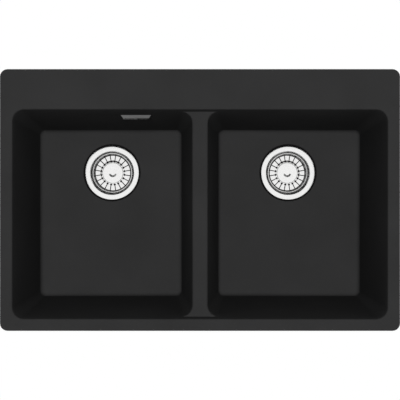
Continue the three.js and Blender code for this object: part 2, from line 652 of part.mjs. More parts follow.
/** The strainer set of one bowl. */
function strainer(side, x) {
  const group = new THREE.Group();
  group.position.set(x, DRAIN.y, 0);
  sink.add(group);
  const fit = (name, geometry, material) => add(`${side}_${name}`, geometry, material, group);
  fit('flange_gasket', flangeGasket(), RUBBER);
  fit('strainer_flange', strainerFlange(), STEEL);
  fit('waste_body', wasteBody(side === 'left'), PLASTIC);
  fit('outlet_tail', outletTail(), PLASTIC);
  fit('body_gasket', bodyGasket(), RUBBER);
  fit('clamping_screw', clampingScrew(), STEEL);
  fit('clamping_nut', clampingNut(), BRASS);
  fit('basket', basket(), STEEL);
  fit('basket_cap', basketCap(), STEEL);
  fit('basket_stem', basketStem(), PLASTIC);
  fit('basket_seal', basketSeal(), RUBBER);
}

/** The overflow set, square to the leaning rear wall of the left bowl. */
function overflow() {
  const inside = new THREE.Group();
  inside.position.set(OVERFLOW.x, overflowInnerY, OVERFLOW.z);
  inside.rotation.x = -WALL_LEAN;
  const outside = new THREE.Group();
  outside.position.set(OVERFLOW.x, OVERFLOW_SEAT, OVERFLOW.z);
  sink.add(inside, outside);
  const headY = overflowInnerY - OVERFLOW_SEAT - DIMPLE.floor - OVERFLOW_FIT.screwGap;
  add('overflow_cover', overflowCover(), STEEL, inside).position.y = -0.1;
  add('overflow_screw', overflowScrew(), STEEL, outside).position.y = headY;
  add('overflow_gasket', overflowGasket(), RUBBER, outside);
  add('overflow_elbow', overflowElbow(), PLASTIC, outside);
  add('overflow_hose', ribbedHose(hoseRoute()), HOSE_PLASTIC);
  add('upper_hose_nut', hoseNut(), PLASTIC).position.set(hoseTop.x, hoseTop.y, hoseTop.z - HOSE_NUT.length);
  const lower = add('lower_hose_nut', hoseNut(), PLASTIC);
  lower.rotation.x = -Math.PI / 2;
  lower.position.set(hoseEnd.x, hoseEnd.y, hoseEnd.z);
}

function worktopClamps() {
  for (const clamp of CLAMPS) {
    const group = new THREE.Group();
    group.position.set(clamp.x, clamp.y, 0);
    group.rotation.z = clamp.turn;
    sink.add(group);
    add(`${clamp.name}_insert`, clampInsert(), BRASS, group);
    add(`${clamp.name}_screw`, clampScrew(), ZINC, group);
    add(`${clamp.name}_jaw`, clampJaw(), ZINC, group);
  }
}

add('sink_body', sinkBody(), STONE);
add('rim_seal', rimSeal(), FOAM);
strainer('left', -DRAIN.x);
strainer('right', DRAIN.x);
overflow();
worktopClamps();

export default sink;
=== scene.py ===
import logging
import math
from dataclasses import dataclass, field
from enum import Enum
from typing import Callable, Iterable, Sequence

import bmesh
import bpy
from mathutils import Matrix, Vector


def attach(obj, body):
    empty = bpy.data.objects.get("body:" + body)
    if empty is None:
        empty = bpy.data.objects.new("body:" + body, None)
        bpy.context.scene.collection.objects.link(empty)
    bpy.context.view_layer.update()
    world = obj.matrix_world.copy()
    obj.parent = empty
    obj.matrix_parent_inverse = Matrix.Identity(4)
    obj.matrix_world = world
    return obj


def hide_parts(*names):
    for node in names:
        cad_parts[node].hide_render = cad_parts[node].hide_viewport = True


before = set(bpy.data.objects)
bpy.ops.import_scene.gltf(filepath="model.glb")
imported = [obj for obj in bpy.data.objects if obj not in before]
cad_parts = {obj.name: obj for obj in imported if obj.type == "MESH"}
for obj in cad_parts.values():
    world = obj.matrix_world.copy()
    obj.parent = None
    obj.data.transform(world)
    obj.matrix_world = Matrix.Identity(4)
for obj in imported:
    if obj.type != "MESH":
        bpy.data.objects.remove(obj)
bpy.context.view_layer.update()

Piece = bpy.types.Object
Material = bpy.types.Material
Socket = bpy.types.NodeSocket
Settings = dict[str, object]
Inputs = dict[int | str, object]
Triple = tuple[float, float, float]
Profile = Sequence[tuple[float, float]]

LOG = logging.getLogger("sink")
MM = 0.001
FULL_TURN = 2.0 * math.pi
QUARTER_TURN = math.pi / 2.0
EVEN: Triple = (1.0, 1.0, 1.0)
LEVEL: Triple = (1.0, 1.0, 0.0)
WHITE = (1.0, 1.0, 1.0, 1.0)


class Slot(Enum):
    """Material slots that the record names."""

    STONE = "composite_granite"
    POLISHED = "polished_steel"
    SATIN = "satin_steel"
    ZINC = "zinc_plate"
    BRASS = "brass"
    PLASTIC = "black_plastic"
    HOSE = "grey_hose"
    RUBBER = "rubber"
    FOAM = "sealing_foam"


# ------------------------------------------------------------------ shader maths


class Wire:
    """A value socket that adds Math nodes when it is used in an expression."""

    def __init__(self, sheet: "NodeSheet", socket: Socket) -> None:
        """Hold a socket of a sheet.

        Args:
            sheet: the node sheet that the socket belongs to.
            socket: an output socket that carries a number.
        """
        self.sheet = sheet
        self.socket = socket

    def _math(self, operation: str, first: "Wire | float", second: "Wire | float") -> "Wire":
        """Add one Math node and return its result."""
        return self.sheet.value("ShaderNodeMath", {"operation": operation}, {0: first, 1: second})

    def __add__(self, other: "Wire | float") -> "Wire":
        """Return self + other."""
        return self._math("ADD", self, other)

    def __radd__(self, other: float) -> "Wire":
        """Return other + self."""
        return self._math("ADD", other, self)

    def __sub__(self, other: "Wire | float") -> "Wire":
        """Return self - other."""
        return self._math("SUBTRACT", self, other)

    def __rsub__(self, other: float) -> "Wire":
        """Return other - self."""
        return self._math("SUBTRACT", other, self)

    def __mul__(self, other: "Wire | float") -> "Wire":
        """Return self * other."""
        return self._math("MULTIPLY", self, other)

    def __rmul__(self, other: float) -> "Wire":
        """Return other * self."""
        return self._math("MULTIPLY", other, self)

    def above(self, limit: float) -> "Wire":
        """Return 1 where the value is above the limit, and 0 elsewhere."""
        return self._math("GREATER_THAN", self, limit)

    def clipped(self) -> "Wire":
        """Return the value held between 0 and 1."""
        return self._math("MINIMUM", self._math("MAXIMUM", self, 0.0), 1.0)


class NodeSheet:
    """A node tree, with one method that makes every node."""

    def __init__(self, owner: "Material | bpy.types.World") -> None:
        """Start an empty tree.

        Args:
            owner: the material or world that holds the tree.
        """
        owner.use_nodes = True
        self.tree = owner.node_tree
        self.tree.nodes.clear()

    def feed(self, socket: Socket, value: object) -> None:
        """Link a source to a socket, or set the socket's value.

        Args:
            socket: an input socket.
            value: a wire, an output socket, or a plain value.
        """
        source = value.socket if isinstance(value, Wire) else value
        if isinstance(source, Socket):
            self.tree.links.new(source, socket)
        else:
            socket.default_value = source

    def node(self, kind: str, settings: Settings, inputs: Inputs) -> bpy.types.Node:
        """Make a node, set its settings and then its sockets.

        Args:
            kind: the node's type name.
            settings: attributes of the node, with a ramp's stops under "stops".
            inputs: values or links of the node's sockets, by number or name.

        Returns:
            The new node.
        """
        made = self.tree.nodes.new(kind)
        for key, value in settings.items():
            if key == "stops":
                for element, (position, colour) in zip(made.color_ramp.elements, value):
                    element.position = position
                    element.color = (*colour, 1.0)
            else:
                setattr(made, key, value)
        for key, value in inputs.items():
            self.feed(made.inputs[key], value)
        return made

    def value(self, kind: str, settings: Settings, inputs: Inputs, out: int | str = 0) -> Wire:
        """Make a node and return one of its outputs as a wire."""
        return Wire(self, self.node(kind, settings, inputs).outputs[out])


class Finish(NodeSheet):
    """The node sheet of one material, round a Principled shader."""

    def __init__(self, name: str) -> None:
        """Start a material with object coordinates.

        Args:
            name: the material's name.
        """
        self.material = bpy.data.materials.new(name)
        super().__init__(self.material)
        self.shader = self.node("ShaderNodeBsdfPrincipled", {}, {})
        surface = {"Surface": self.shader.outputs["BSDF"]}
        self.output = self.node("ShaderNodeOutputMaterial", {}, surface)
        self.place = self.node("ShaderNodeTexCoord", {}, {}).outputs["Object"]

    def vector(self, operation: str, first: Socket, second: Triple) -> Socket:
        """Add one Vector Math node and return its vector."""
        inputs = {0: first, 1: second}
        return self.node("ShaderNodeVectorMath", {"operation": operation}, inputs).outputs[0]

    def noise(self, scale: float, detail: float = 3.0, stretch: Triple = EVEN) -> Wire:
        """Add noise on the object's coordinates.

        Args:
            scale: the noise's scale per metre.
            detail: the number of its finer layers.
            stretch: a further scale along each axis.

        Returns:
            The noise, from 0 to 1.
        """
        mapped = self.node("ShaderNodeMapping", {}, {"Vector": self.place, "Scale": stretch})
        inputs = {"Vector": mapped.outputs["Vector"], "Scale": scale, "Detail": detail}
        return self.value("ShaderNodeTexNoise", {}, inputs, "Fac")

    def cells(self, scale: float) -> Wire:
        """Return the distance to the nearest of scattered points, by a scale per metre."""
        inputs = {"Vector": self.place, "Scale": scale}
        return self.value("ShaderNodeTexVoronoi", {}, inputs, "Distance")

    def radius(self, centre: Triple) -> Wire:
        """Measure the distance from a vertical axis.

        Args:
            centre: a point of the axis, in metres.

        Returns:
            The distance in metres.
        """
        away = self.vector("SUBTRACT", self.place, centre)
        inputs = {0: self.vector("MULTIPLY", away, LEVEL)}
        return self.value("ShaderNodeVectorMath", {"operation": "LENGTH"}, inputs, "Value")

    def colour(self, mask: Wire, low: Triple, high: Triple) -> Socket:
        """Return a colour that runs from low to high as the mask goes from 0 to 1."""
        stops = [(0.0, low), (1.0, high)]
        return self.node("ShaderNodeValToRGB", {"stops": stops}, {"Fac": mask}).outputs["Color"]

    def laid_over(self, base: Socket, over: Triple, mask: Wire) -> Socket:
        """Return a base colour with another colour over it where the mask is 1."""
        inputs = {"Factor": mask, 6: base, 7: (*over, 1.0)}
        return self.node("ShaderNodeMix", {"data_type": "RGBA"}, inputs).outputs[2]

    def bump(self, height: Wire, distance: float, strength: float) -> None:
        """Feed the shader's normal from a height.

        Args:
            height: the height, in units of the distance.
            distance: what a height of 1 stands for, in metres.
            strength: how much of the bump shows, from 0 to 1.
        """
        inputs = {"Height": height, "Distance": distance, "Strength": strength}
        made = self.node("ShaderNodeBump", {}, inputs)
        self.set(Normal=made.outputs["Normal"])

    def set(self, **sockets: object) -> None:
        """Set or link sockets of the shader, with _ for a space in their names."""
        for key, value in sockets.items():
            self.feed(self.shader.inputs[key.replace("_", " ")], value)


# ------------------------------------------------------------------ finishes


@dataclass(frozen=True)
class CompositeGranite:
    """Fine-grained black composite of crushed stone and resin."""

    dark: Triple = (0.017, 0.017, 0.017)
    light: Triple = (0.034, 0.034, 0.0344)
    fleck: Triple = (0.07, 0.07, 0.073)
    grain_per_metre: float = 1500.0
    cloud_per_metre: float = 9.0
    fleck_per_metre: float = 620.0
    fleck_nearness: float = 0.8
    fleck_rarity: float = 0.52
    fleck_cover: float = 0.55
    rough: float = 0.68
    specular: float = 0.002
    grain_height: float = 0.00006
    grain_strength: float = 0.55

    def make(self) -> Material:
        """Make the stone.

        Returns:
            The material.
        """
        sheet = Finish("composite_granite")
        grain = sheet.noise(self.grain_per_metre, 4.0)
        cloud = sheet.noise(self.cloud_per_metre)
        body = sheet.colour((grain * 0.8 + cloud * 0.5 - 0.15).clipped(), self.dark, self.light)
        spots = 1.0 - sheet.cells(self.fleck_per_metre)
        rare = (sheet.noise(self.fleck_per_metre * 0.6, 1.0) - self.fleck_rarity).clipped() * 5.0
        mask = (spots.above(self.fleck_nearness) * rare * self.fleck_cover).clipped()
        sheet.set(Base_Color=sheet.laid_over(body, self.fleck, mask),
                  Roughness=self.rough + grain * 0.14 + cloud * 0.06,
                  Specular_IOR_Level=self.specular)
        sheet.bump(grain + spots * 0.4, self.grain_height, self.grain_strength)
        return sheet.material


@dataclass(frozen=True)
class TurnedSteel:
    """Stainless steel with fine marks round a vertical axis and rings of painted shade at its
    creases.
    """

    name: str
    centre: Triple
    # Rings of painted shade, each [radius, half width] in millimetres, standing for dark
    # reflections in the creases.
    painted_shade_rings: tuple[tuple[float, float], ...]
    bright: Triple = (0.92, 0.92, 0.915)
    shade: Triple = (0.8, 0.8, 0.795)
    # The colour of the painted shade.
    painted_shade_colour: Triple = (0.012, 0.012, 0.013)
    painted_shade_core: float = 1.6
    rough: float = 0.2
    marks_per_metre: float = 5200.0
    patch_per_metre: float = 160.0
    smear_per_metre: float = 38.0
    mark_height: float = 0.000012
    mark_strength: float = 0.35

    def make(self) -> Material:
        """Make the steel.

        Returns:
            The material.
        """
        sheet = Finish(self.name)
        away = sheet.radius(self.centre)
        turns = {0: away * self.marks_per_metre}
        line = sheet.value("ShaderNodeMath", {"operation": "SINE"}, turns)
        patch = sheet.noise(self.patch_per_metre)
        smear = sheet.noise(self.smear_per_metre, 2.0)
        unshaded_tone = sheet.colour((patch * 0.6 + smear * 0.5).clipped(), self.shade, self.bright)
        # Painted shade: the rings darken the steel's colour where its creases reflect darkness.
        sheet.set(Base_Color=sheet.laid_over(unshaded_tone, self.painted_shade_colour, self.painted_shade_mask(sheet, away)),
                  Metallic=1.0,
                  Roughness=self.rough + patch * 0.08 + smear * 0.06 - 0.06)
        sheet.bump(line * 0.3 + patch * 0.7, self.mark_height, self.mark_strength)
        return sheet.material

    def painted_shade_mask(self, sheet: Finish, away: Wire) -> Wire:
        """Lay out the painted shade as rings round the axis.

        Args:
            sheet: the material's node sheet.
            away: the distance from the axis, in metres.

        Returns:
            1 in the middle of each [radius, half width] ring in millimetres, and 0 outside it.
        """
        rings: list[Wire] = []
        for radius, half_width in self.painted_shade_rings:
            inputs = {0: away - radius * MM}
            off = sheet.value("ShaderNodeMath", {"operation": "ABSOLUTE"}, inputs)
            fall = self.painted_shade_core / (half_width * MM)
            rings.append((self.painted_shade_core - off * fall).clipped())
        return sum(rings[1:], rings[0]).clipped()


@dataclass(frozen=True)
class BrushedSteel:
    """Stainless steel brushed along X."""

    name: str
    bright: Triple
    shade: Triple
    rough: float = 0.28
    lines_per_metre: float = 900.0
    smear_per_metre: float = 45.0
    along: Triple = (0.03, 1.0, 1.0)
    line_height: float = 0.00002
    line_strength: float = 0.4

    def make(self) -> Material:
        """Make the steel.

        Returns:
            The material.
        """
        sheet = Finish(self.name)
        lines = sheet.noise(self.lines_per_metre, 3.0, self.along)
        smear = sheet.noise(self.smear_per_metre, 2.0)
        tone = (lines * 0.7 + smear * 0.4).clipped()
        sheet.set(Base_Color=sheet.colour(tone, self.shade, self.bright), Metallic=1.0,
                  Roughness=self.rough + lines * 0.14)
        sheet.bump(lines, self.line_height, self.line_strength)
        return sheet.material


@dataclass(frozen=True)
class Moulded:
    """A moulded or rubbery surface: soft mottling, a fine texture and light scuffs."""

    name: str
    low: Triple
    high: Triple
    rough: float
    grain_per_metre: float = 900.0
    grain_height: float = 0.00005
    specular: float = 0.4
    cloud_per_metre: float = 30.0
    scuff_per_metre: float = 120.0
    scuff_rarity: float = 0.6
    scuff_along: Triple = (1.0, 1.0, 0.15)
    grain_strength: float = 0.5

    def make(self) -> Material:
        """Make the plastic or rubber.

        Returns:
            The material.
        """
        sheet = Finish(self.name)
        grain = sheet.noise(self.grain_per_metre, 4.0)
        cloud = sheet.noise(self.cloud_per_metre)
        streak = sheet.noise(self.scuff_per_metre, 2.0, self.scuff_along)
        scuff = (streak - self.scuff_rarity).clipped() * 1.6
        tone = (cloud * 0.7 + grain * 0.3 + scuff).clipped()
        sheet.set(Base_Color=sheet.colour(tone, self.low, self.high),
                  Roughness=self.rough + grain * 0.12 - scuff * 0.1,
                  Specular_IOR_Level=self.specular)
        sheet.bump(grain, self.grain_height, self.grain_strength)
        return sheet.material


@dataclass(frozen=True)
class CellFoam:
    """Closed-cell foam with small pores."""

    pore: Triple = (0.025, 0.025, 0.026)
    skin: Triple = (0.075, 0.075, 0.078)
    rough: float = 0.92
    pores_per_metre: float = 1400.0
    pore_depth: float = 0.0003
    pore_strength: float = 0.8

    def make(self) -> Material:
        """Make the foam.

        Returns:
            The material.
        """
        sheet = Finish("sealing_foam")
        pores = sheet.cells(self.pores_per_metre)
        sheet.set(Base_Color=sheet.colour(pores, self.pore, self.skin), Roughness=self.rough)
        sheet.bump(pores, self.pore_depth, self.pore_strength)
        return sheet.material


@dataclass(frozen=True)
class PlatedMetal:
    """Zinc plate or turned brass: cloudy colour, fine draw marks and dulled patches."""

    name: str
    bright: Triple
    shade: Triple
    rough: float
    spangle_per_metre: float = 260.0
    marks_per_metre: float = 1600.0
    marks_along: Triple = (1.0, 1.0, 0.1)
    dull_per_metre: float = 55.0
    mark_height: float = 0.00002
    mark_strength: float = 0.4

    def make(self) -> Material:
        """Make the metal.

        Returns:
            The material.
        """
        sheet = Finish(self.name)
        spangle = sheet.cells(self.spangle_per_metre)
        marks = sheet.noise(self.marks_per_metre, 2.0, self.marks_along)
        dull = sheet.noise(self.dull_per_metre)
        tone = (spangle * 0.5 + dull * 0.6).clipped()
        sheet.set(Base_Color=sheet.colour(tone, self.shade, self.bright), Metallic=1.0,
                  Roughness=self.rough + dull * 0.16 + marks * 0.08)
        sheet.bump(marks, self.mark_height, self.mark_strength)
        return sheet.material


# ------------------------------------------------------------------ modelling helpers


def deselect() -> None:
    """Leave edit mode and deselect every object."""
    if bpy.context.mode != "OBJECT":
        bpy.ops.object.mode_set(mode="OBJECT")
    bpy.ops.object.select_all(action="DESELECT")


def activate(piece: Piece) -> None:
    """Make a piece the only selected and active object.

    Args:
        piece: the object.
    """
    deselect()
    piece.select_set(True)
    bpy.context.view_layer.objects.active = piece


def smooth(piece: Piece, angle: float) -> None:
    """Smooth the faces that meet under an angle in degrees."""
    activate(piece)
    bpy.ops.object.shade_smooth_by_angle(angle=math.radians(angle))


def settle(piece: Piece, angle: float = 35.0) -> Piece:
    """Bake the place into the mesh and smooth it.

    Args:
        piece: the object, changed in place.
        angle: faces that meet under this angle in degrees are smoothed.

    Returns:
        The same object.
    """
    activate(piece)
    bpy.ops.object.transform_apply(location=True, rotation=True, scale=True)
    smooth(piece, angle)
    return piece


def modify(piece: Piece, kind: str, **settings: object) -> None:
    """Add a modifier to a piece and apply it.

    Args:
        piece: the object, changed in place.
        kind: the modifier's type.
        settings: attributes of the modifier.
    """
    activate(piece)
    modifier = piece.modifiers.new(kind.lower(), kind)
    for key, value in settings.items():
        setattr(modifier, key, value)
    bpy.ops.object.modifier_apply(modifier=modifier.name)


def round_edges(piece: Piece, width: float, segments: int, angle: float = 30.0) -> None:
    """Round the edges that turn by more than an angle in degrees, to a width in millimetres."""
    modify(piece, "BEVEL", width=width * MM, segments=segments, limit_method="ANGLE",
           angle_limit=math.radians(angle))


def clean_mesh(piece: Piece, threshold: float = 1e-6) -> None:
    """Merge doubles, drop degenerate faces and point the faces outwards.

    Args:
        piece: the object, changed in place.
        threshold: how near two vertices are to count as one, in metres.
    """
    activate(piece)
    bpy.ops.object.mode_set(mode="EDIT")
    bpy.ops.mesh.select_all(action="SELECT")
    bpy.ops.mesh.remove_doubles(threshold=threshold)
    bpy.ops.mesh.dissolve_degenerate(threshold=threshold)
    bpy.ops.mesh.normals_make_consistent(inside=False)
    bpy.ops.object.mode_set(mode="OBJECT")


def turned(name: str, profile: Profile, rounding: float, steps: int = 96, arcs: int = 3) -> Piece:
    """Spin a closed profile about +Z.

    Args:
        name: the piece's name.
        profile: [radius, height] pairs in millimetres, in order round the section.
        rounding: the radius of the section's corners in millimetres.
        steps: the number of steps of the full turn.
        arcs: the number of segments in a rounded corner.

    Returns:
        The spun piece, about the world's Z axis.
    """
    deselect()
    bpy.ops.mesh.primitive_circle_add(vertices=len(profile), radius=1.0, fill_type="NOTHING")
    piece = bpy.context.object
    piece.name = name
    for vertex, (r, z) in zip(piece.data.vertices, profile):
        vertex.co = (r * MM, 0.0, z * MM)
    bpy.ops.object.mode_set(mode="EDIT")
    mesh = bmesh.from_edit_mesh(piece.data)
    for vertex in mesh.verts:
        vertex.select_set(vertex.co.x > 1e-6)
    mesh.select_flush_mode()
    bmesh.update_edit_mesh(piece.data)
    if rounding > 0.0:
        bpy.ops.mesh.bevel(offset=rounding * MM, segments=arcs, affect="VERTICES",
                           clamp_overlap=True)
    bpy.ops.mesh.select_all(action="SELECT")
    bpy.ops.mesh.spin(steps=steps, angle=FULL_TURN, center=(0.0, 0.0, 0.0), axis=(0.0, 0.0, 1.0),
                      use_auto_merge=True)
    bpy.ops.object.mode_set(mode="OBJECT")
    clean_mesh(piece)
    return piece


def prism(name: str, outline: Profile, low: float, high: float) -> Piece:
    """Extrude an outline upwards.

    Args:
        name: the piece's name.
        outline: [x, y] pairs in millimetres.
        low: the height of the lower end in millimetres.
        high: the height of the upper end in millimetres.

    Returns:
        The closed prism.
    """
    deselect()
    bpy.ops.mesh.primitive_circle_add(vertices=len(outline), radius=1.0, fill_type="NGON")
    piece = bpy.context.object
    piece.name = name
    for vertex, (x, y) in zip(piece.data.vertices, outline):
        vertex.co = (x * MM, y * MM, low * MM)
    bpy.ops.object.mode_set(mode="EDIT")
    bpy.ops.mesh.select_all(action="SELECT")
    rise = (0.0, 0.0, (high - low) * MM)
    bpy.ops.mesh.extrude_region_move(TRANSFORM_OT_translate={"value": rise})
    bpy.ops.object.mode_set(mode="OBJECT")
    clean_mesh(piece)
    return piece


def block(name: str, size: Triple, at: Triple, edge: float = 0.0) -> Piece:
    """Make a block, with rounded edges where a radius is given.

    Args:
        name: the piece's name.
        size: the block's sides in millimetres.
        at: the block's middle in millimetres.
        edge: the radius of its edges in millimetres.

    Returns:
        The block.
    """
    deselect()
    bpy.ops.mesh.primitive_cube_add(size=1.0)
    piece = bpy.context.object
    piece.name = name
    scale = Matrix.Diagonal((*(side * MM for side in size), 1.0))
    piece.data.transform(Matrix.Translation(Vector(at) * MM) @ scale)
    if edge > 0.0:
        round_edges(piece, edge, 3)
    return piece


def joined(pieces: Sequence[Piece]) -> Piece:
    """Join pieces into the first one.

    Args:
        pieces: the objects, of which only the first is left.

    Returns:
        The first object.
    """
    deselect()
    for piece in pieces:
        piece.select_set(True)
    bpy.context.view_layer.objects.active = pieces[0]
    bpy.ops.object.join()
    return pieces[0]


def combine(piece: Piece, tool: Piece, operation: str) -> None:
    """Join, cut or intersect a piece with a tool, and delete the tool."""
    modify(piece, "BOOLEAN", object=tool, operation=operation, solver="MANIFOLD")
    bpy.data.objects.remove(tool, do_unlink=True)


def moved(piece: Piece, matrix: Matrix) -> Piece:
    """Move a piece's mesh by a matrix and return the piece."""
    piece.data.transform(matrix)
    return piece


def spun(piece: Piece, angle: float) -> Piece:
    """Turn a piece's mesh about +Z by an angle in radians and return the piece."""
    return moved(piece, Matrix.Rotation(angle, 4, "Z"))


def arc(radius: float, angles: Iterable[float]) -> list[tuple[float, float]]:
    """Return points on a circle at angles in radians."""
    return [(radius * math.cos(angle), radius * math.sin(angle)) for angle in angles]


def cad_copy(node: str) -> Piece:
    """Copy a CAD node with its own mesh, and merge its loose triangles.

    Args:
        node: the CAD node's name.

    Returns:
        The copy, named after the node with "fine" before it.
    """
    piece = bpy.data.objects[node].copy()
    piece.data = piece.data.copy()
    piece.name = f"fine_{node}"
    bpy.context.collection.objects.link(piece)
    piece.modifiers.clear()
    clean_mesh(piece, 2e-6)
    return piece


def dress(piece: Piece, material: Material) -> None:
    """Give a piece one material."""
    piece.data.materials.clear()
    piece.data.materials.append(material)


def fit_piece(piece: Piece, body: str, material: Material, node: str) -> None:
    """Dress a finished piece and let it ride on its body in place of a CAD node.

    Args:
        piece: the finished object.
        body: the body that it rides on.
        material: its material.
        node: the CAD node that it stands for.
    """
    dress(piece, material)
    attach(piece, body)
    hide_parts(node)
    LOG.info("%s rides on %s", piece.name, body)


# ------------------------------------------------------------------ sub-assemblies


@dataclass
class Moulding:
    """The composite sink: deck, two bowls, lowered divider and underside."""

    finish: CompositeGranite = field(default_factory=CompositeGranite)
    rim_z: float = 5.0
    shoulder_z: float = -14.0
    fillet_z: float = -182.0
    floor_z: float = -190.5
    side: float = 365.2
    front: float = -231.4
    rear: float = 175.8
    divider: float = 15.5
    draft: float = 0.135
    side_draft: float = 0.118
    divider_draft: float = 0.14
    corner: float = 22.0
    wall: float = 6.5
    tighter_by: float = 10.0
    slack: float = 0.6
    core: float = 8.0
    skin_margin: float = 3.0
    crease: float = 40.0

    def corners(self, z: float) -> list[tuple[float, float, float, float]]:
        """Find the right-hand bowl's rounded corners at a height.

        Args:
            z: the height in millimetres.

        Returns:
            The X and Y of each corner's centre in millimetres, and its outward directions, -1 or 1.
        """
        z = max(z, self.fillet_z)
        down = self.rim_z - z
        outer = self.side - self.side_draft * down - self.corner
        inner = self.divider + self.divider_draft * (self.shoulder_z - z) + self.corner
        front = self.front + self.draft * down + self.corner
        rear = self.rear - self.draft * down - self.corner
        across = ((inner, -1.0), (outer, 1.0))
        along = ((front, -1.0), (rear, 1.0))
        return [(x, y, over, back) for x, over in across for y, back in along]

    def tighten(self, piece: Piece) -> None:
        """Make the bowls' corners tighter towards the floor, on both skins of the walls.

        Args:
            piece: the moulding, changed in place.
        """
        reach = self.corner + self.wall + self.skin_margin
        for vertex in piece.data.vertices:
            x, y, z = vertex.co / MM
            if z >= self.shoulder_z:
                continue
            share = min((self.shoulder_z - z) / (self.shoulder_z - self.floor_z), 1.0)
            step = share * self.tighter_by
            mirror = math.copysign(1.0, x)
            for centre_x, centre_y, over, back in self.corners(z):
                u, v = (abs(x) - centre_x) * over, (y - centre_y) * back
                if min(u, v) > -self.slack and self.core < math.hypot(u, v) < reach:
                    turn = min(max(math.atan2(v, u), 0.0), QUARTER_TURN)
                    x += mirror * over * step * (1.0 - math.cos(turn))
                    y += back * step * (1.0 - math.sin(turn))
                    vertex.co = (x * MM, y * MM, z * MM)
                    break

    def build(self) -> None:
        """Tighten and smooth a copy of the moulding and dress it."""
        piece = cad_copy("sink_body")
        piece.name = "stone_moulding"
        self.tighten(piece)
        smooth(piece, self.crease)
        modify(piece, "WEIGHTED_NORMAL", keep_sharp=True, weight=100)
        fit_piece(piece, "sink", self.finish.make(), "sink_body")


